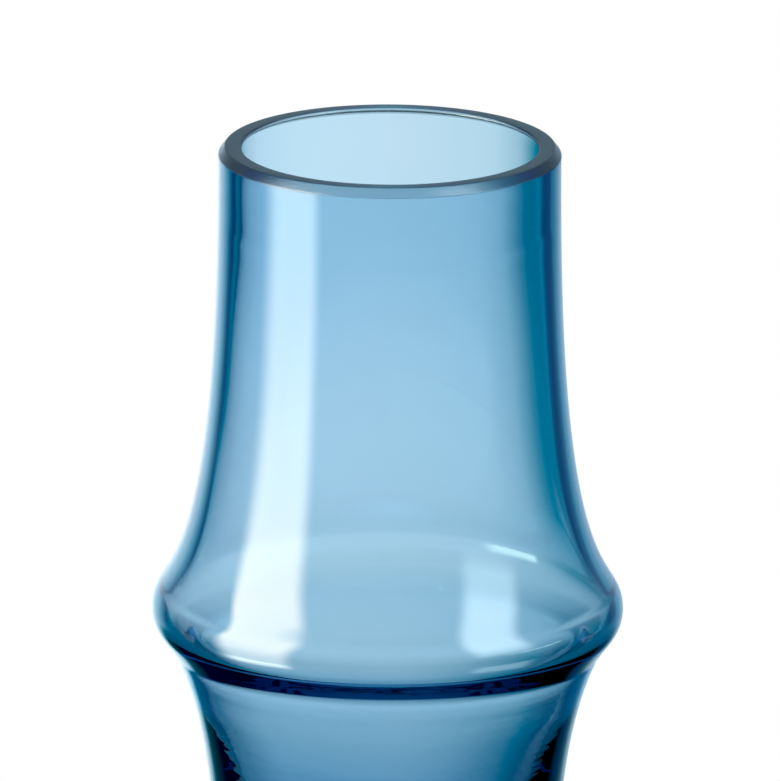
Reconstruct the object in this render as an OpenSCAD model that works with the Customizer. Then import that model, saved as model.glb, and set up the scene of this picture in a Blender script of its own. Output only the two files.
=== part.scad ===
// A blown glass vase: two bells of glass meet at a bulging ring half way up, and the rim is cut
// and ground flat. It is one continuous piece of glass, so it is one solid of revolution.
// Z is the vase's axis and the foot stands on Z = 0.

/* [Overall] */
// Height from the foot to the ground rim
height = 220; // [200:1:245]
// Height of the ring's widest circle above the table
ring_h = 108.5; // [100:0.5:118]

/* [Mouth] */
// Diameter of the neck at the mouth
mouth_d = 80; // [72:0.5:86]
// Thickness of the glass at the mouth
mouth_wall = 5.4; // [4:0.1:7]
// Depth of the straight bore inside the mouth
bore_depth = 18; // [10:1:24]
// Distance below the bore over which the blown wall thins by half
thinning = 32; // [20:1:44]
// Width of the bevel ground round the outside of the rim
bevel_w = 1.5; // [0.5:0.1:2.2]
// Height of that bevel
bevel_h = 1.9; // [0.8:0.1:3]
// Chamfer on the rim's inner edge
arris = 0.4; // [0.2:0.1:0.8]

/* [Upper bell] */
// Distance below the rim at which the outside starts to open out
neck_h = 4.3; // [3.2:0.1:8]
// Reach of the curve along the neck: a longer one keeps the neck straight further down
neck_reach = 86; // [72:1:92]
// Reach of the curve along the shoulder
shoulder_reach = 8.4; // [5:0.1:12]
// Lean of the shoulder above the ring, in degrees from upright
shoulder_lean = 30; // [24:1:38]

/* [Ring] */
// Diameter of the ring at its widest
ring_d = 110.6; // [106:0.2:116]
// Radius of the ring's rounded crown, seen in section
crown_r = 9.4; // [8:0.1:11]
// Thickness of the glass at the ring
ring_wall = 3.7; // [3:0.1:4.6]
// Lean of the ring's underside, in degrees from upright
underside_lean = 36.6; // [32:0.2:42]

/* [Crease] */
// Depth of the crease below the ring: how much smaller its radius is than the ring's
crease_depth = 5.1; // [3.8:0.1:6.8]
// Thickness of the glass at the crease
crease_wall = 5.1; // [4.6:0.1:6]
// Radius that softens the crease outside
crease_r = 6; // [2:0.5:9]
// How far below the crease the ridge inside lies, along the wall
ridge_drop = 0.5; // [0:0.1:1.5]
// Radius that softens the ridge
ridge_r = 9; // [2:0.5:10]

/* [Lower bell] */
// Lean of the glass just below the crease, in degrees from upright
lower_lean = 26.6; // [22:0.2:31]
// Reach of the curve below the crease
crease_reach = 22.5; // [16:0.5:28]
// Reach of the curve above the foot
foot_reach = 32; // [20:1:44]
// Height of the lower bell's thinnest glass
thinnest_h = 86; // [80:1:90]
// Thickness of the glass there
thinnest_wall = 4.6; // [3.8:0.1:5.4]

/* [Foot] */
// Diameter of the foot
foot_d = 79.2; // [74:0.2:84]
// Height of the straight foot
foot_h = 14; // [8:0.5:18]
// Thickness of the bottom
base_t = 15; // [9:0.5:18]
// Height over which the inside rounds from the wall into its floor
well_h = 22; // [14:1:28]
// Thickness of the glass at the top of that rounding
well_wall = 12; // [9:0.5:14]
// Diameter of the flat floor inside
floor_d = 10; // [2:1:16]
// Radius of the rounded heel
heel_r = 3; // [1:0.5:6]
// Diameter of the shallow hollow ground under the bottom
hollow_d = 48; // [30:1:58]
// Depth of that hollow
hollow_depth = 2.5; // [1:0.5:5]

/* [Hidden] */
$fn = 180;
// Steps along each bell's curve, round each half of the crown, down the rounding at the inside
// floor, and round each small corner
bell_steps = 30;
crown_steps = 7;
well_steps = 14;
corner_steps = 6;
// How much closer a bell's steps lie at its narrow end, where its curve runs faster
step_power = 1.5;
// How slowly the lower bell's wall starts to thicken, up and down from its thinnest glass
thickening_power = 1.4;
// How far the rounding at the inside floor reaches towards the corner that it replaces
rounding_share = 0.6;
mouth_r = mouth_d / 2;
bore_r = mouth_r - mouth_wall;
foot_r = foot_d / 2;
floor_r = floor_d / 2;
well_top_h = base_t + well_h;
crease_end_r = ring_d / 2 - crease_depth;
bore_end_h = height - bore_depth;
// Centre of the crown's section, shared by the outside and the inside
crown_centre = [ring_d / 2 - crown_r, ring_h];

// A heading is an angle in the half section: 0 points outwards, 90 up and 180 inwards
function heading(a) = [cos(a), sin(a)];
function turned(v) = [-v[1], v[0]];
function unit(v) = v / norm(v);
function mix(a, b, share) = a + (b - a) * share;
function circle_point(centre, r, a) = centre + r * heading(a);

// A cubic curve through ends p[0] and p[3], and the way it runs at t
function on_curve(p, t) =
    (1 - t)^3 * p[0] + 3 * (1 - t)^2 * t * p[1] + 3 * (1 - t) * t^2 * p[2] + t^3 * p[3];
function along_curve(p, t) =
    unit((1 - t)^2 * (p[1] - p[0]) + 2 * (1 - t) * t * (p[2] - p[1]) + t^2 * (p[3] - p[2]));
function bell_t(i) = 1 - (1 - i / bell_steps)^step_power;

// An arc about a centre, from one angle to another; first = 1 leaves out its starting point
function arc(centre, r, a, b, steps, first = 0) =
    [for (i = [first:steps]) circle_point(centre, r, mix(a, b, i / steps))];

// An arc that rounds the corner at p, arriving on heading a and leaving on heading b
function rounded(p, a, b, r) =
    let (side = b > a ? 1 : -1)
    let (start = p - r * tan(abs(b - a) / 2) * heading(a))
    let (centre = start + side * r * turned(heading(a)))
    arc(centre, r, a - side * 90, b - side * 90, corner_steps);

// Heights and ends that the outline's stretches share, all in the half section [radius, height]
shoulder_end = circle_point(crown_centre, crown_r, shoulder_lean);
crown_low_end = circle_point(crown_centre, crown_r, -underside_lean);
crease = [
    crease_end_r,
    crown_low_end[1] - (crown_low_end[0] - crease_end_r) / tan(underside_lean)
];

// The two bells' outsides, each from its wide end at the ring to its narrow end
upper_bell = [
    shoulder_end,
    shoulder_end + shoulder_reach * heading(90 + shoulder_lean),
    [mouth_r, height - neck_h - neck_reach],
    [mouth_r, height - neck_h]
];
lower_bell = [
    crease,
    crease + crease_reach * heading(270 - lower_lean),
    [foot_r, foot_h + foot_reach],
    [foot_r, foot_h]
];

// The inside follows the outside at the wall's thickness, which the blowing varies. The wall
// thins from the mouth to the ring, and thickens from the lower bell's thinnest glass to the foot.
function upper_wall(p) =
    mix(ring_wall, mouth_wall, 1 / (1 + ((bore_end_h - p[1]) / thinning)^2));
function lower_wall(p) =
    let (end = p[1] > thinnest_h ? [crease_wall, crease[1]] : [well_wall, well_top_h])
    mix(thinnest_wall, end[0], ((p[1] - thinnest_h) / (end[1] - thinnest_h))^thickening_power);
upper_inside = [
    for (i = [1:bell_steps])
        let (t = bell_t(i), p = on_curve(upper_bell, t))
        if (p[1] < bore_end_h) p + upper_wall(p) * turned(along_curve(upper_bell, t))
];
lower_inside = [
    for (i = [0:bell_steps])
        let (t = bell_t(i), p = on_curve(lower_bell, t))
        p - lower_wall(p) * turned(along_curve(lower_bell, t))
];

// Inside the ring, the crown's own arc runs down to a line that touches the ridge
inner_crown_r = crown_r - ring_wall;
ridge = lower_inside[0] + ridge_drop * heading(270 - lower_lean);
to_ridge = ridge - crown_centre;
inner_crown_end = atan2(to_ridge[1], to_ridge[0]) + acos(inner_crown_r / norm(to_ridge));

// The stretch between the ridge's rounding and the well
ridge_low_end = ridge[1] - ridge_r * tan(abs(inner_crown_end + lower_lean) / 2) * cos(lower_lean);
below_ridge = [
    for (p = lower_inside)
        if (p[1] < ridge_low_end && p[1] > well_top_h) p
];

// The rounding runs on from the wall's last two points and ends level on the inside floor
well_top = below_ridge[len(below_ridge) - 1];
wall_run = unit(well_top - below_ridge[len(below_ridge) - 2]);
well_corner = well_top - wall_run * (well_top[1] - base_t) / wall_run[1];
floor_end = [floor_r, base_t];
well = [
    well_top,
    mix(well_top, well_corner, rounding_share),
    mix(floor_end, well_corner, rounding_share),
    floor_end
];

// The hollow under the bottom is a shallow ball's cap
hollow_ball_r = ((hollow_d / 2)^2 + hollow_depth^2) / (2 * hollow_depth);
hollow_half_angle = asin(hollow_d / 2 / hollow_ball_r);

// The outline's outer stretch, from the axis under the bottom up to the ground rim
function outside() = concat(
    arc([0, hollow_depth - hollow_ball_r], hollow_ball_r, 90, 90 - hollow_half_angle, corner_steps),
    arc([foot_r - heel_r, heel_r], heel_r, -90, 0, corner_steps),
    [for (i = [bell_steps:-1:1]) on_curve(lower_bell, bell_t(i))],
    rounded(crease, 90 - lower_lean, 90 - underside_lean, crease_r),
    arc(crown_centre, crown_r, -underside_lean, 0, crown_steps),
    arc(crown_centre, crown_r, 0, shoulder_lean, crown_steps, 1),
    [for (i = [1:bell_steps]) on_curve(upper_bell, bell_t(i))],
    [[mouth_r, height - bevel_h], [mouth_r - bevel_w, height]]
);

// The inner stretch, from the rim down to the axis on the inside floor
function inside() =
    concat(
        [[bore_r + arris, height], [bore_r, height - arris], [bore_r, bore_end_h]],
        [for (i = [len(upper_inside) - 1:-1:0]) upper_inside[i]],
        arc(crown_centre, inner_crown_r, shoulder_lean, 0, crown_steps),
        arc(crown_centre, inner_crown_r, 0, inner_crown_end, crown_steps, 1),
        rounded(ridge, inner_crown_end - 90, -90 - lower_lean, ridge_r),
        below_ridge,
        [for (i = [1:well_steps]) on_curve(well, i / well_steps)],
        [[0, base_t]]
    );

module glass_body() {
    color([0.35, 0.68, 0.86, 0.6])
        rotate_extrude()
            polygon(concat(outside(), inside()));
}

glass_body();
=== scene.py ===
# A blown blue glass vase in a white studio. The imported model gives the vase's half section. The
# glass that is shown is that section, smoothed and turned round the axis, with the gentle waves
# that mould-blown glass has. Lengths are in metres and angles in degrees unless a name says more.

import math

import bpy
import numpy as np
from mathutils import Matrix, Vector


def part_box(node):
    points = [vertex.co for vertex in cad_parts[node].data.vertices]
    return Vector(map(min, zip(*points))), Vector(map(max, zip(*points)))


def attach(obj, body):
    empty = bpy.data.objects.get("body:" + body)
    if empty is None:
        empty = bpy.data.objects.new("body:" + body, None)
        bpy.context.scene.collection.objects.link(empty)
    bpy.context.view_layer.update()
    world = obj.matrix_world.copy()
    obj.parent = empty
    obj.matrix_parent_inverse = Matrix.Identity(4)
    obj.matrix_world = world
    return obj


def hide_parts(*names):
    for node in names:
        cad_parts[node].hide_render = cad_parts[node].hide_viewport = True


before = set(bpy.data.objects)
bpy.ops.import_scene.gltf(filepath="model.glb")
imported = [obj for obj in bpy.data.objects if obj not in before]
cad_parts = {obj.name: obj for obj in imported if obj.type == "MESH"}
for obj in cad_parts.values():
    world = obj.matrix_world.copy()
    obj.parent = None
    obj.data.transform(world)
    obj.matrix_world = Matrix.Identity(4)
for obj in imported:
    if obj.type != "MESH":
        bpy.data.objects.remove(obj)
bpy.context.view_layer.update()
NODE = "glass_body"
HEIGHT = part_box(NODE)[1].z

MM = 0.001
HALF_TURN = 180.0
FULL_TURN = 360.0

# The photograph's camera, a long lens that looks slightly down
IMAGE_WIDTH = 780
FOCAL_PIXELS = 17113.5
SENSOR = 36.0
CAMERA_DISTANCE = 4.0
CAMERA_PITCH = 15.553
CAMERA_ROLL = 0.31
AIM_RIGHT = 0.312 * MM
AIM_BELOW_RIM = 59.108 * MM

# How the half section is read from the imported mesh. Vertices lie on one ring if their places are
# fewer than RING_STEPS steps of SAME_PLACE apart.
SAME_PLACE = 0.004 * MM
RING_STEPS = 3
# A point where it turns less than STRAIGHT_TURN is left out. One where it turns more than
# CORNER_TURN is a corner, which is barely rounded.
STRAIGHT_TURN = 0.04
CORNER_TURN = 25.0
EDGE_ROUND = 0.2 * MM
EDGE_STEPS = 4
# A stretch that is this many times longer than a neighbour is cut in pieces before smoothing
LONG_STRETCH = 1.8
LONG_PIECES = 4
FINE_STEPS = 16
TINY = 1e-9
# How a bend is spread along the glass: over what length, in how many steps to that length, in how
# many steps at least along a whole stretch, and how many times over
SOFTENING = 0.8 * MM
SOFTENING_STEPS = 4
SOFTENING_LEAST = 8
SOFTENING_PASSES = 8
# The most that lies between two rows of the mesh, and the mesh's sides
ROW_STEP = 2.0 * MM
ROW_TURN = 3.0
SIDES = 288

# The waves in the blown glass: how deep, how many round the vase, how long, and their phase. They
# die out towards the rim and the foot.
INNER_WAVES = [
    (0.05 * MM, 3, 95 * MM, 0.4),
    (0.035 * MM, 5, 60 * MM, 2.1),
    (0.02 * MM, 8, 42 * MM, 4.4),
]
OUTER_WAVES = [
    (0.02 * MM, 4, 80 * MM, 1.3),
    (0.012 * MM, 7, 50 * MM, 5.2),
]
WAVELESS_END = 12 * MM

# How far below the rim the grinding reaches outside and inside, how far in from the neck's outside
# the one ends and the other starts, and half the width of the ground area's soft edge. The neck is
# measured over NECK_SPAN below the rim.
GROUND_OUTSIDE = 2.2 * MM
GROUND_INSIDE = 0.8 * MM
GROUND_DIVIDE = 3.5 * MM
GROUND_EDGE = 0.1 * MM
NECK_SPAN = 6 * MM
# The grain of the ground rim, and the finer ripples that the mould leaves in the lower bell, which
# fade out between two heights
GRAIN_SCALE = 1800.0
GRAIN_STRENGTH = 0.35
GRAIN_DEPTH = 0.15 * MM
RIPPLE_SCALES = (90.0, 90.0, 380.0)
RIPPLE_DEPTH = 0.03 * MM
RIPPLED_BELOW = (0.094, 0.098)

# The glass
GLASS_IOR = 1.5
ABSORBED_PER_METRE = 142.0
GLASS_TINT = (0.17, 0.60, 0.83)
CLEAR_ROUGHNESS = 0.0
GROUND_ROUGHNESS = 0.28
CLEAR_TINT = (1.0, 1.0, 1.0)
# Painted shade: the ground rim's base colour darkens the light that passes the rim
GROUND_PAINTED_SHADE = (0.36, 0.44, 0.47)

# The studio is white to the camera and to all that isn't glass, at PLAIN_LEVEL. The rest of it is
# what the glass shows, where BACKDROP_LEVEL is the brightness of the room round the vase.
PLAIN_LEVEL = 1.0
BACKDROP_LEVEL = 1.09
# A count of reflections over this means that light was reflected inside the glass
REFLECTED_ONCE = 0.5
# The panel behind the vase, as it shows straight through the glass: brightness by the place across
# it, for a middle and a high band. Below them it is as bright as the floor in front of it, with the
# floor's painted shade.
PANEL_BEHIND = 0.15
PANEL_HALF_WIDTH = 0.6
PANEL_HEIGHT = 0.45
PANEL_MIDDLE = [(-0.26, 0.1), (-0.16, 0.72), (-0.11, 1.0), (-0.08, 1.04), (-0.03, 1.02),
                (0.0, 0.98), (0.03, 0.93), (0.055, 0.8), (0.08, 0.7), (0.11, 0.45), (0.16, 0.08)]
PANEL_HIGH = [(-0.26, 0.5), (-0.16, 0.8), (-0.11, 1.03), (-0.08, 1.1), (-0.055, 1.13),
              (-0.025, 1.12), (0.0, 1.08), (0.033, 1.04), (0.048, 0.88), (0.055, 0.7),
              (0.065, 0.48), (0.08, 0.32), (0.1, 0.28), (0.14, 0.35), (0.17, 0.6), (0.2, 1.0),
              (0.26, 1.0)]
PANEL_LOW_TO_MIDDLE = (0.024, 0.066)
PANEL_MIDDLE_TO_HIGH = (0.068, 0.1)
# How a brightness is tinted. Red is RED_SLOPE times it plus a tint's first number. Blue is the
# second number times it plus the third. LOW_TINT is the floor's, and colours its painted shade
# blue.
RED_SLOPE = 1.5
HIGH_TINT = (-0.58, 0.9, 0.1)
LOW_TINT = (-0.48, 0.85, 0.12)
# What reflections inside the glass show, which reach round to the dark room: (azimuth, brightness).
# Azimuths of the room are from straight behind the vase.
MIRRORED_INSIDE = [(-60, 0.05), (-52, 0.08), (-46, 0.15), (-42, 0.26), (-40, 0.22), (-38, 0.05),
                   (-34, 0.03), (-31, 0.1), (-27, 0.22), (-22, 0.26), (-14, 0.29), (0, 0.28),
                   (10, 0.25), (24, 0.26), (28, 0.05), (36, 0.05), (40, 0.1), (46, 0.34)]
# What the outside of the glass mirrors, apart from the lights: (azimuth, colour)
MIRRORED_OUTSIDE = [(-90, (0, 0, 0.08)), (-62, (0, 0.1, 0.18)), (-50, (0, 0.18, 0.3)),
                    (-44, (0.03, 0.4, 0.58)), (-40, (0.22, 0.72, 0.95)), (-36, (0.45, 0.98, 1.22)),
                    (-30, (0.85, 1.28, 1.52)), (-15, (1.12, 1.38, 1.55)), (0, (0.8, 1, 1.15)),
                    (12, (0.47, 0.67, 0.84)), (20, (0.46, 0.7, 0.9)), (28, (0.3, 0.56, 0.77)),
                    (36, (0.1, 0.34, 0.5)), (44, (0.03, 0.19, 0.31)), (60, (0, 0.1, 0.3)),
                    (90, (0, 0, 0))]
# Over these elevations that gives way to a plain ceiling, which is dark inside the glass
SKY_COLOUR = (0.27, 0.46, 0.58)
SKY_EDGE = (-4, 10)
# Below this elevation the mirrored room narrows, by this share for each degree
NARROW_BELOW = -16
NARROWING = 0.09
# A softbox to the left. Azimuths of the lights are from straight in front. Its near edge is soft,
# and its far edge goes from dark at one azimuth to full at another, which depends on the elevation.
# Colours go by elevation; the lowest and brightest ones are the lit table.
LEFT_NEAR_EDGE = (-56, -45)
LEFT_FAR_EDGE = -96
LEFT_FAR_FULL = ((-15, -77), (22, -90))
LEFT_COLOURS = [(-29, (0, 0, 0)), (-20, (13, 13, 12)), (-17, (13, 13, 12)), (-15.8, (6.5, 7.4, 7)),
                (-12, (7, 7, 6.4)), (-6, (8.6, 8, 6.6)), (7, (11.2, 9.8, 7.4)),
                (24, (13.2, 10.8, 7)), (36, (12.4, 10.2, 7)), (46, (0, 0, 0))]
# A smaller softbox to the right, with its own lit table below it, and a bright thin strip
RIGHT_EDGES = (39, 50, 70, 81)
RIGHT_COLOURS = [(-34, (0, 0, 0)), (-28, (3, 3.8, 4.2)), (-18, (3, 3.8, 4.2)), (-16, (0, 0, 0)),
                 (5, (0, 0, 0)), (14, (4, 5, 5.4)), (27, (7, 8.2, 8.8)), (52, (7, 8.2, 8.8)),
                 (60, (0, 0, 0))]
STRIP_EDGES = (54, 68, 91, 95)
STRIP_HEIGHTS = (4.5, 4.9, 5.5, 6.8)
STRIP_COLOUR = (5.6, 7.9, 7)
# The ramps of the lights and the mirrored room hold their colours as shares of this
BRIGHTEST = 15.0

# The floor. The camera sees it fade into the white studio over FLOOR_SEEN, a distance.
FLOOR_COLOUR = (0.78, 0.78, 0.78)
FLOOR_RADIUS = 1.5
FLOOR_SEEN = (0.06, 0.19)
# The floor as the glass shows it, by distance from the axis, is painted light and shade: a painted
# pool of light under the foot, the vase's painted shadow round it, fading out further away. Except
# in front of the vase, painted shade darkens it to both sides.
FLOOR_PAINTED_LEVELS = [(0.0, 1.5), (0.045, 1.5), (0.06, 0.45), (0.1, 0.6), (0.15, 0.78), (0.26, 0.86),
                (0.3, 0.9), (0.4, 1.05)]
FLOOR_FADE = (0.36, 0.44)
FLOOR_MIDDLE = -0.02
FLOOR_SIDES = (0.02, 0.095)
FLOOR_FRONT = (-0.03, 0.01)
SIDE_PAINTED_SHADE = 0.17
# Light that is guided far down inside the wall, by more reflections than this to under the foot,
# meets a painted glow on the floor there, which keeps more of its green than three bands allow
GUIDED_REFLECTIONS = 3.5
GUIDED_PAINTED_GLOW = (1.5, 20.0, 2.0)
FOOT_RADIUS = 0.04

# How often light may be refracted or reflected on its way
MOST_BOUNCES = 32
MOST_GLOSSY_BOUNCES = 24


def packed_outline(node):
    """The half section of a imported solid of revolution, from the axis below to the axis above."""
    mesh = node.data
    places = np.array([(math.hypot(v.co.x, v.co.y), v.co.z) for v in mesh.vertices])
    keys = [tuple(key) for key in np.round(places / SAME_PLACE).astype(int)]
    centres = []
    ring_of = {}
    for key in sorted(set(keys)):
        near = [i for i, centre in enumerate(centres)
                if max(abs(centre[0] - key[0]), abs(centre[1] - key[1])) < RING_STEPS]
        ring_of[key] = near[0] if near else len(centres)
        if not near:
            centres.append(key)
    rings = np.array([ring_of[key] for key in keys])
    points = [places[rings == i].mean(axis=0) for i in range(len(centres))]
    links = [set() for _ in points]
    for edge in mesh.edges:
        a, b = rings[edge.vertices[0]], rings[edge.vertices[1]]
        if a != b:
            links[a].add(b)
            links[b].add(a)
    ends = sorted((i for i in range(len(points)) if len(links[i]) == 1), key=lambda i: points[i][1])
    walk = [ends[0]]
    while walk[-1] != ends[1]:
        walk.append(next(i for i in links[walk[-1]] if i not in walk[-2:]))
    outline = [points[i] for i in walk]
    return np.array(on_axis(outline[0]) + outline + on_axis(outline[-1]))


def on_axis(end):
    """The axis level with an end of the outline, as a list that is empty if the end lies there."""
    return [np.array([0.0, end[1]])] if end[0] > SAME_PLACE else []


def turns(points):
    """How far a line of points turns at each of its inner points, in degrees."""
    steps = np.diff(points, axis=0)
    headings = np.degrees(np.arctan2(steps[:, 1], steps[:, 0]))
    return (np.diff(headings) + HALF_TURN) % FULL_TURN - HALF_TURN


def split_straights(points):
    """The same line, with every stretch that is far longer than a neighbour cut in pieces."""
    lengths = np.hypot(*np.diff(points, axis=0).T)
    around = np.concatenate([[lengths[0]], lengths, [lengths[-1]]])
    pieces = [points[:1]]
    for i, length in enumerate(lengths):
        count = LONG_PIECES if length > LONG_STRETCH * min(around[i], around[i + 2]) else 1
        shares = np.linspace(0, 1, count + 1)[1:, None]
        pieces.append(points[i] + (points[i + 1] - points[i]) * shares)
    return np.concatenate(pieces)


def spline(points):
    """A curve through the points that stays straight where they do, in rows fine enough for glass.
    Its slope at a point leans to the side where the points run straighter."""
    if len(points) < 3:
        return resampled(points)
    points = split_straights(points)
    steps = np.diff(points, axis=0)
    spans = np.hypot(steps[:, 0], steps[:, 1])
    rates = steps / spans[:, None]
    for _ in range(2):
        rates = np.concatenate([2 * rates[:1] - rates[1:2], rates, 2 * rates[-1:] - rates[-2:-1]])
    changes = np.linalg.norm(np.diff(rates, axis=0), axis=1) + TINY
    before = changes[:-2, None]
    after = changes[2:, None]
    slopes = (after * rates[1:-2] + before * rates[2:-1]) / (before + after)
    shares = np.linspace(0, 1, FINE_STEPS + 1)[1:, None]
    fine = [points[:1]]
    for i, span in enumerate(spans):
        fine.append(
            (2 * shares**3 - 3 * shares**2 + 1) * points[i]
            + (shares**3 - 2 * shares**2 + shares) * span * slopes[i]
            + (3 * shares**2 - 2 * shares**3) * points[i + 1]
            + (shares**3 - shares**2) * span * slopes[i + 1]
        )
    return resampled(softened(np.concatenate(fine)))


def softened(fine):
    """A finely drawn line whose bend changes gradually, as it does in blown glass."""
    lengths = np.concatenate([[0], np.cumsum(np.hypot(*np.diff(fine, axis=0).T))])
    count = max(SOFTENING_LEAST, math.ceil(lengths[-1] / SOFTENING * SOFTENING_STEPS))
    even = np.linspace(0, lengths[-1], count + 1)
    line = np.stack([np.interp(even, lengths, fine[:, k]) for k in (0, 1)], axis=1)
    for _ in range(SOFTENING_PASSES):
        line[1:-1] += (line[:-2] - 2 * line[1:-1] + line[2:]) / 4
    return line


def resampled(fine):
    """Rows along a finely drawn line, never further apart than ROW_STEP or ROW_TURN allows."""
    lengths = np.hypot(*np.diff(fine, axis=0).T)
    bends = np.zeros(len(lengths))
    if len(fine) > 2:
        bends[:-1] = np.abs(turns(fine))
    effort = np.concatenate([[0], np.cumsum(lengths / ROW_STEP + bends / ROW_TURN)])
    rows = np.linspace(0, effort[-1], max(2, math.ceil(effort[-1]) + 1))
    return np.stack([np.interp(rows, effort, fine[:, k]) for k in (0, 1)], axis=1)


def smooth_outline(points):
    """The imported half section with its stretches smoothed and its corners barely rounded."""
    bend = np.abs(np.concatenate([[HALF_TURN], turns(points), [HALF_TURN]]))
    kept = bend > STRAIGHT_TURN
    points = points[kept]
    corners = np.flatnonzero(bend[kept] > CORNER_TURN)
    stretches = [spline(points[first:last + 1]) for first, last in zip(corners, corners[1:])]
    outline = [stretches[0]]
    for before, after in zip(stretches, stretches[1:]):
        corner = after[0]
        start = corner + EDGE_ROUND * unit(before[-2] - corner)
        end = corner + EDGE_ROUND * unit(after[1] - corner)
        outline[-1] = outline[-1][:-1]
        for t in np.linspace(0, 1, EDGE_STEPS + 1):
            outline.append(((1 - t)**2 * start + 2 * t * (1 - t) * corner + t**2 * end)[None])
        outline.append(after[1:])
    return np.concatenate(outline)


def unit(v):
    return v / np.linalg.norm(v)


def inner_start(outline):
    """The row where the outline's inside starts: the last of the rim's level rows."""
    return int(np.flatnonzero(outline[:, 1] > HEIGHT - SAME_PLACE)[-1])


def waves(kinds, angle, height):
    """How far the glass lies inside its nominal surface, at an angle round it and a height."""
    depth = 0.0
    for size, count, length, phase in kinds:
        depth += size * (1 + np.sin(count * angle + 2 * math.pi * height / length + phase)) / 2
    return depth


def turned_mesh(name, outline, inner_from):
    """A closed mesh: the outline turned round the axis. Rows from inner_from on are the inside."""
    angles = np.arange(SIDES) * 2 * math.pi / SIDES
    points, faces, starts = [], [], []
    for row, (radius, height) in enumerate(outline):
        starts.append(len(points))
        if radius < SAME_PLACE:
            points.append((0.0, 0.0, height))
            continue
        kinds, side = (INNER_WAVES, 1) if row >= inner_from else (OUTER_WAVES, -1)
        from_ends = min(max(0.0, HEIGHT - height), height)
        share = min(1.0, from_ends / WAVELESS_END)
        shifted = radius + side * share * waves(kinds, angles, height)
        points += [(r * math.cos(a), r * math.sin(a), height) for r, a in zip(shifted, angles)]
    for row in range(len(outline) - 1):
        low, high = starts[row], starts[row + 1]
        for i in range(SIDES):
            j = (i + 1) % SIDES
            if outline[row][0] < SAME_PLACE:
                faces.append((low, high + j, high + i))
            elif outline[row + 1][0] < SAME_PLACE:
                faces.append((low + i, low + j, high))
            else:
                faces.append((low + i, low + j, high + j, high + i))
    mesh = bpy.data.meshes.new(name)
    mesh.from_pydata(points, [], faces)
    mesh.shade_smooth()
    mesh.validate()
    return mesh


class Tree:
    """Short ways to add nodes to a shader's node tree."""

    def __init__(self, owner):
        owner.use_nodes = True
        self.tree = owner.node_tree
        self.tree.nodes.clear()

    def add(self, kind, inputs=(), **settings):
        node = self.tree.nodes.new(kind)
        for name, value in settings.items():
            setattr(node, name, value)
        for key, value in dict(inputs).items():
            self.set(node.inputs[key], value)
        return node

    def set(self, socket, value):
        if isinstance(value, bpy.types.NodeSocket):
            self.tree.links.new(value, socket)
        else:
            socket.default_value = value

    def math(self, operation, *values):
        node = self.add("ShaderNodeMath", operation=operation)
        for socket, value in zip(node.inputs, values):
            self.set(socket, value)
        return node.outputs[0]

    def flipped(self, share):
        """1 where share is 0 and 0 where it is 1."""
        return self.math("SUBTRACT", 1.0, share)

    def blend(self, share, a, b):
        """a where share is 0 and b where it is 1."""
        node = self.add("ShaderNodeMix", dict(Factor=share, A=a, B=b))
        return node.outputs["Result"]

    def rise(self, value, low, high):
        """A smooth rise from 0 to 1 as value goes from low to high."""
        node = self.add("ShaderNodeMapRange", interpolation_type="SMOOTHSTEP")
        for key, number in (("Value", value), ("From Min", low), ("From Max", high)):
            self.set(node.inputs[key], number)
        return node.outputs["Result"]

    def between(self, value, edges):
        """1 where value lies between the inner two edges, and 0 beyond the outer two."""
        return self.math("MULTIPLY", self.rise(value, *edges[:2]),
                         self.flipped(self.rise(value, *edges[2:])))

    def ramp(self, value, stops):
        """A number that goes straight from stop to stop as value rises."""
        lowest, highest = stops[0][0], stops[-1][0]
        peak = max(level for _, level in stops)
        colours = self.add("ShaderNodeValToRGB")
        elements = colours.color_ramp.elements
        while len(elements) < len(stops):
            elements.new(1.0)
        for element, (at, level) in zip(elements, stops):
            element.position = (at - lowest) / (highest - lowest)
            element.color = (*(level / peak,) * 3, 1)
        share = self.add("ShaderNodeMapRange",
                         {"Value": value, "From Min": lowest, "From Max": highest})
        self.set(colours.inputs["Fac"], share.outputs["Result"])
        return self.math("MULTIPLY", colours.outputs["Color"], peak)

    def by_angle(self, angle, stops):
        """A colour, or a brightness, that changes smoothly from stop to stop of an angle. The
        ramp's middle is angle 0, and its ends are half a turn away."""
        colours = self.add("ShaderNodeValToRGB")
        colours.color_ramp.interpolation = "EASE"
        elements = colours.color_ramp.elements
        while len(elements) < len(stops):
            elements.new(0.5)
        for element, (at, value) in zip(elements, stops):
            element.position = at / FULL_TURN + 0.5
            colour = value if isinstance(value, tuple) else (value,) * 3
            element.color = (*colour, 1)
        self.set(colours.inputs["Fac"], self.math("MULTIPLY_ADD", angle, 1 / FULL_TURN, 0.5))
        return colours.outputs["Color"]

    def glow(self, angle, stops, share):
        """A colour by an angle that may be brighter than 1, times a share."""
        dimmed = [(at, tuple(c / BRIGHTEST for c in colour)) for at, colour in stops]
        strength = self.math("MULTIPLY", share, BRIGHTEST)
        return self.scaled(self.by_angle(angle, dimmed), strength)

    def colour_blend(self, share, a, b):
        """Colour a where share is 0 and colour b where it is 1."""
        node = self.add("ShaderNodeMix", data_type="VECTOR")
        sockets = [socket for socket in node.inputs if socket.enabled]
        for socket, value in zip(sockets, (share, a, b)):
            self.set(socket, value)
        return next(socket for socket in node.outputs if socket.enabled)

    def mix_shader(self, share, a, b):
        """Shader a where share is 0 and shader b where it is 1."""
        node = self.add("ShaderNodeMixShader", dict(Fac=share))
        self.set(node.inputs[1], a)
        self.set(node.inputs[2], b)
        return node.outputs["Shader"]

    def scaled(self, vector, factor):
        node = self.add("ShaderNodeVectorMath", operation="SCALE")
        self.set(node.inputs[0], vector)
        self.set(node.inputs["Scale"], factor)
        return node.outputs["Vector"]

    def sum(self, a, b):
        node = self.add("ShaderNodeVectorMath", operation="ADD")
        self.set(node.inputs[0], a)
        self.set(node.inputs[1], b)
        return node.outputs["Vector"]


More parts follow.
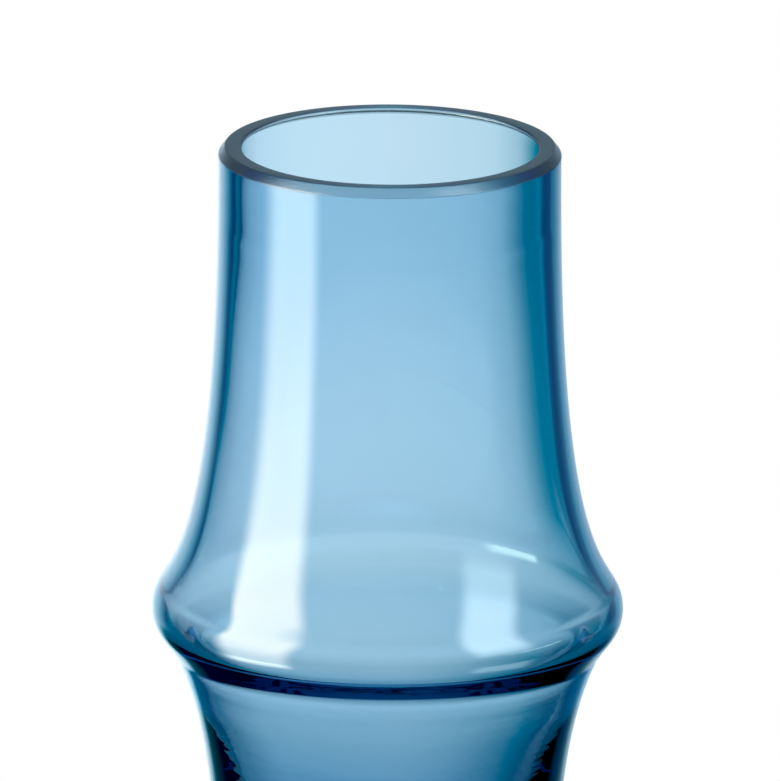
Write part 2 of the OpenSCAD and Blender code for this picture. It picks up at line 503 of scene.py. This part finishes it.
def ground_area(tree, xyz, mouth_radius):
    """1 on the ground rim, with its bevel outside and its arris inside, and 0 on clear glass."""
    radius = tree.math("SQRT", tree.math("ADD", tree.math("POWER", xyz["X"], 2.0),
                                         tree.math("POWER", xyz["Y"], 2.0)))
    divide = mouth_radius - GROUND_DIVIDE
    outside = tree.rise(radius, divide - GROUND_EDGE, divide + GROUND_EDGE)
    edge = tree.blend(outside, HEIGHT - GROUND_INSIDE, HEIGHT - GROUND_OUTSIDE)
    return tree.rise(tree.math("SUBTRACT", xyz["Z"], edge), -GROUND_EDGE, GROUND_EDGE)


def glass_material(mouth_radius):
    """Clear blue glass, coloured right through, and ground matt on the rim, where painted shade
    darkens the light that passes.
    """
    material = bpy.data.materials.new("blue_glass")
    tree = Tree(material)
    place = tree.add("ShaderNodeTexCoord").outputs["Object"]
    xyz = tree.add("ShaderNodeSeparateXYZ", dict(Vector=place)).outputs
    ground = ground_area(tree, xyz, mouth_radius)
    grain = tree.add("ShaderNodeTexNoise", dict(Vector=place, Scale=GRAIN_SCALE, Detail=1.0))
    flattened = tree.add("ShaderNodeVectorMath", {0: place, 1: RIPPLE_SCALES}, operation="MULTIPLY")
    ripple = tree.add("ShaderNodeTexNoise",
                      dict(Vector=flattened.outputs["Vector"], Scale=1.0, Detail=1.0))
    below = tree.flipped(tree.rise(xyz["Z"], *RIPPLED_BELOW))
    rippled = tree.add("ShaderNodeBump", dict(Strength=below, Distance=RIPPLE_DEPTH,
                                              Height=ripple.outputs["Fac"]))
    grained = tree.add("ShaderNodeBump", dict(
        Strength=tree.math("MULTIPLY", ground, GRAIN_STRENGTH), Distance=GRAIN_DEPTH,
        Height=grain.outputs["Fac"], Normal=rippled.outputs["Normal"]))
    glass = tree.add("ShaderNodeBsdfPrincipled", {
        # The ground rim's base colour is painted shade
        "Base Color": tree.colour_blend(ground, CLEAR_TINT, GROUND_PAINTED_SHADE),
        "IOR": GLASS_IOR,
        "Transmission Weight": 1.0,
        "Roughness": tree.blend(ground, CLEAR_ROUGHNESS, GROUND_ROUGHNESS),
        "Normal": grained.outputs["Normal"],
    })
    volume = tree.add("ShaderNodeVolumeAbsorption",
                      dict(Color=(*GLASS_TINT, 1), Density=ABSORBED_PER_METRE))
    tree.add("ShaderNodeOutputMaterial",
             dict(Surface=glass.outputs["BSDF"], Volume=volume.outputs["Volume"]))
    return material


def softboxes(tree, azimuth, elevation):
    """The lights that the outside of the glass mirrors: one to the left, and to the right a smaller
    one and a strip."""
    (low, full_at_low), (high, full_at_high) = LEFT_FAR_FULL
    far_full = tree.add("ShaderNodeMapRange", {
        "Value": elevation, "From Min": low, "From Max": high,
        "To Min": full_at_low, "To Max": full_at_high,
    }).outputs["Result"]
    left = tree.math("MULTIPLY", tree.flipped(tree.rise(azimuth, *LEFT_NEAR_EDGE)),
                     tree.rise(azimuth, LEFT_FAR_EDGE, far_full))
    right = tree.between(azimuth, RIGHT_EDGES)
    strip = tree.math("MULTIPLY", tree.between(azimuth, STRIP_EDGES),
                      tree.between(elevation, STRIP_HEIGHTS))
    boxes = tree.sum(tree.glow(elevation, LEFT_COLOURS, left),
                     tree.glow(elevation, RIGHT_COLOURS, right))
    return tree.sum(boxes, tree.scaled(STRIP_COLOUR, strip))


def room_colour(tree, level, tint):
    """The studio's colour at a brightness: white where it is bright and blue where it is dim."""
    darkest_red, blue_slope, least_blue = tint
    red = tree.math("MAXIMUM", 0.0, tree.math("MULTIPLY_ADD", level, RED_SLOPE, darkest_red))
    blue = tree.math("MULTIPLY_ADD", level, blue_slope, least_blue)
    colour = tree.add("ShaderNodeCombineColor", dict(Red=red, Green=level, Blue=blue))
    return colour.outputs["Color"]


def studio_world():
    """White to the camera. The outside of the glass mirrors a room with a bright backdrop behind
    the vase, dim walls, a ceiling and lights. Reflections inside the glass show a dimmer room, and
    light that comes straight through it, past the panel and the floor, is nearly white."""
    world = bpy.data.worlds.new("studio")
    bpy.context.scene.world = world
    tree = Tree(world)
    path = tree.add("ShaderNodeLightPath").outputs
    direction = tree.add("ShaderNodeTexCoord").outputs["Generated"]
    xyz = tree.add("ShaderNodeSeparateXYZ", dict(Vector=direction)).outputs
    behind = tree.math("DEGREES", tree.math("ARCTAN2", xyz["X"], xyz["Y"]))
    front = tree.math("DEGREES", tree.math(
        "ARCTAN2", xyz["X"], tree.math("MULTIPLY", xyz["Y"], -1.0)))
    elevation = tree.math("DEGREES", tree.math("ARCSINE", xyz["Z"]))
    sky = tree.rise(elevation, *SKY_EDGE)
    below = tree.math("MAXIMUM", 0.0, tree.math("SUBTRACT", NARROW_BELOW, elevation))
    narrowed = tree.math("MULTIPLY", behind, tree.math("MULTIPLY_ADD", below, NARROWING, 1.0))
    reflected = tree.math("GREATER_THAN", path["Glossy Depth"], REFLECTED_ONCE)
    inside_level = tree.blend(reflected, 1.0, tree.math(
        "MULTIPLY", tree.by_angle(narrowed, MIRRORED_INSIDE), tree.flipped(sky)))
    outside = tree.colour_blend(sky, tree.glow(narrowed, MIRRORED_OUTSIDE, 1.0), SKY_COLOUR)
    room = tree.scaled(tree.colour_blend(path["Is Transmission Ray"], outside,
                                         room_colour(tree, inside_level, HIGH_TINT)),
                       BACKDROP_LEVEL)
    lights = tree.scaled(softboxes(tree, front, elevation),
                         tree.flipped(path["Is Transmission Ray"]))
    seen = tree.add("ShaderNodeBackground", dict(Color=tree.sum(room, lights), Strength=1.0))
    plain = tree.add("ShaderNodeBackground", dict(Color=(1, 1, 1, 1), Strength=PLAIN_LEVEL))
    in_glass = tree.math("MAXIMUM", path["Is Transmission Ray"], path["Is Glossy Ray"])
    tree.add("ShaderNodeOutputWorld", dict(Surface=tree.mix_shader(
        in_glass, plain.outputs["Background"], seen.outputs["Background"])))
    world.cycles.sampling_method = "NONE"


def staged(name, corners, material):
    """A flat sheet that is part of the studio."""
    mesh = bpy.data.meshes.new(name)
    mesh.from_pydata(corners, [], [(0, 1, 2, 3)])
    mesh.materials.append(material)
    sheet = bpy.data.objects.new(name, mesh)
    bpy.context.scene.collection.objects.link(sheet)


def painted_floor_level(tree, xyz, distance):
    """How bright the glass shows the floor at a place, and at a distance from the vase's axis.
    These
    levels are painted light and shade: a pool of light under the foot, the vase's shadow round it,
    and shade to both sides.
    """
    to_side = tree.math("ABSOLUTE", tree.math("SUBTRACT", xyz["X"], FLOOR_MIDDLE))
    side = tree.math("MULTIPLY", tree.rise(to_side, *FLOOR_SIDES),
                     tree.rise(xyz["Y"], *FLOOR_FRONT))
    return tree.blend(side, tree.ramp(distance, FLOOR_PAINTED_LEVELS), SIDE_PAINTED_SHADE)


def panel():
    """The lit panel behind the vase, seen only straight through the glass. Its low band carries the
    floor's painted shade.
    """
    material = bpy.data.materials.new("panel_light")
    tree = Tree(material)
    place = tree.add("ShaderNodeTexCoord").outputs["Object"]
    xyz = tree.add("ShaderNodeSeparateXYZ", dict(Vector=place)).outputs
    path = tree.add("ShaderNodeLightPath").outputs
    # The low band is the floor's painted shade
    low = room_colour(tree, painted_floor_level(tree, xyz, PANEL_BEHIND), LOW_TINT)
    level = tree.blend(tree.rise(xyz["Z"], *PANEL_MIDDLE_TO_HIGH),
                       tree.ramp(xyz["X"], PANEL_MIDDLE), tree.ramp(xyz["X"], PANEL_HIGH))
    colour = tree.colour_blend(tree.rise(xyz["Z"], *PANEL_LOW_TO_MIDDLE), low,
                               room_colour(tree, level, HIGH_TINT))
    shown = tree.add("ShaderNodeEmission", dict(Color=colour, Strength=1.0))
    clear = tree.add("ShaderNodeBsdfTransparent")
    through = tree.math("MULTIPLY", path["Is Transmission Ray"],
                        tree.math("LESS_THAN", path["Glossy Depth"], REFLECTED_ONCE))
    tree.add("ShaderNodeOutputMaterial", dict(Surface=tree.mix_shader(
        through, clear.outputs["BSDF"], shown.outputs["Emission"])))
    right = PANEL_HALF_WIDTH
    staged("panel", [(-right, PANEL_BEHIND, 0.0), (right, PANEL_BEHIND, 0.0),
                     (right, PANEL_BEHIND, PANEL_HEIGHT), (-right, PANEL_BEHIND, PANEL_HEIGHT)],
           material)


def floor():
    """A pale floor round the vase that fades into the white studio. The glass shows it by its own
    levels, which are painted light and shade, and the outside of the glass doesn't mirror it."""
    material = bpy.data.materials.new("pale_floor")
    tree = Tree(material)
    place = tree.add("ShaderNodeTexCoord").outputs["Object"]
    distance = tree.add("ShaderNodeVectorMath", dict(Vector=place),
                        operation="LENGTH").outputs["Value"]
    xyz = tree.add("ShaderNodeSeparateXYZ", dict(Vector=place)).outputs
    path = tree.add("ShaderNodeLightPath").outputs
    through = path["Is Transmission Ray"]
    mirrored = tree.math("MULTIPLY", path["Is Glossy Ray"], tree.flipped(through))
    faded_seen = tree.math("MULTIPLY", path["Is Camera Ray"], tree.rise(distance, *FLOOR_SEEN))
    faded_through = tree.math("MULTIPLY", through, tree.rise(distance, *FLOOR_FADE))
    gone = tree.math("ADD", mirrored, tree.math("ADD", faded_seen, faded_through))
    # A painted glow on the floor under the foot, for light guided down inside the wall
    painted_glow_under_foot = tree.math("MULTIPLY",
                       tree.math("GREATER_THAN", path["Glossy Depth"], GUIDED_REFLECTIONS),
                       tree.math("LESS_THAN", distance, FOOT_RADIUS))
    # Painted light and shade on the floor as the glass shows it
    level = painted_floor_level(tree, xyz, distance)
    in_glass = tree.colour_blend(painted_glow_under_foot, room_colour(tree, level, LOW_TINT), GUIDED_PAINTED_GLOW)
    pale = tree.add("ShaderNodeBsdfDiffuse", dict(Color=(*FLOOR_COLOUR, 1)))
    shown = tree.add("ShaderNodeEmission", dict(Color=in_glass, Strength=1.0))
    clear = tree.add("ShaderNodeBsdfTransparent")
    opaque = tree.mix_shader(through, pale.outputs["BSDF"], shown.outputs["Emission"])
    tree.add("ShaderNodeOutputMaterial", dict(Surface=tree.mix_shader(
        gone, opaque, clear.outputs["BSDF"])))
    corners = [(-FLOOR_RADIUS, -FLOOR_RADIUS, 0), (FLOOR_RADIUS, -FLOOR_RADIUS, 0),
               (FLOOR_RADIUS, FLOOR_RADIUS, 0), (-FLOOR_RADIUS, FLOOR_RADIUS, 0)]
    staged("floor", corners, material)


def camera():
    """The photograph's view of the upper part of the vase."""
    pitch = math.radians(CAMERA_PITCH)
    roll = math.radians(CAMERA_ROLL)
    forward = Vector((0, math.cos(pitch), -math.sin(pitch)))
    level_up = Vector((0, math.sin(pitch), math.cos(pitch)))
    level_right = Vector((1, 0, 0))
    right = level_right * math.cos(roll) + level_up * math.sin(roll)
    up = level_up * math.cos(roll) - level_right * math.sin(roll)
    aim = Vector((AIM_RIGHT, 0, HEIGHT - AIM_BELOW_RIM))
    place = Matrix((right, up, -forward)).transposed().to_4x4()
    place.translation = aim - forward * CAMERA_DISTANCE
    data = bpy.data.cameras.new("camera")
    data.sensor_fit = "HORIZONTAL"
    data.sensor_width = SENSOR
    data.lens = FOCAL_PIXELS * SENSOR / IMAGE_WIDTH
    seen_from = bpy.data.objects.new("camera", data)
    seen_from.matrix_world = place
    bpy.context.scene.collection.objects.link(seen_from)
    bpy.context.scene.camera = seen_from


outline = smooth_outline(packed_outline(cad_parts[NODE]))
mouth_radius = outline[outline[:, 1] > HEIGHT - NECK_SPAN][:, 0].max()

body = bpy.data.objects.new("glass_vase", turned_mesh("glass_vase", outline, inner_start(outline)))
bpy.context.scene.collection.objects.link(body)
body.data.materials.append(glass_material(mouth_radius))
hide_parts(NODE)
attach(body, "root")

studio_world()
panel()
floor()
camera()

bpy.context.scene.view_settings.view_transform = "Standard"
bpy.context.scene.cycles.max_bounces = MOST_BOUNCES
bpy.context.scene.cycles.transmission_bounces = MOST_BOUNCES
bpy.context.scene.cycles.glossy_bounces = MOST_GLOSSY_BOUNCES
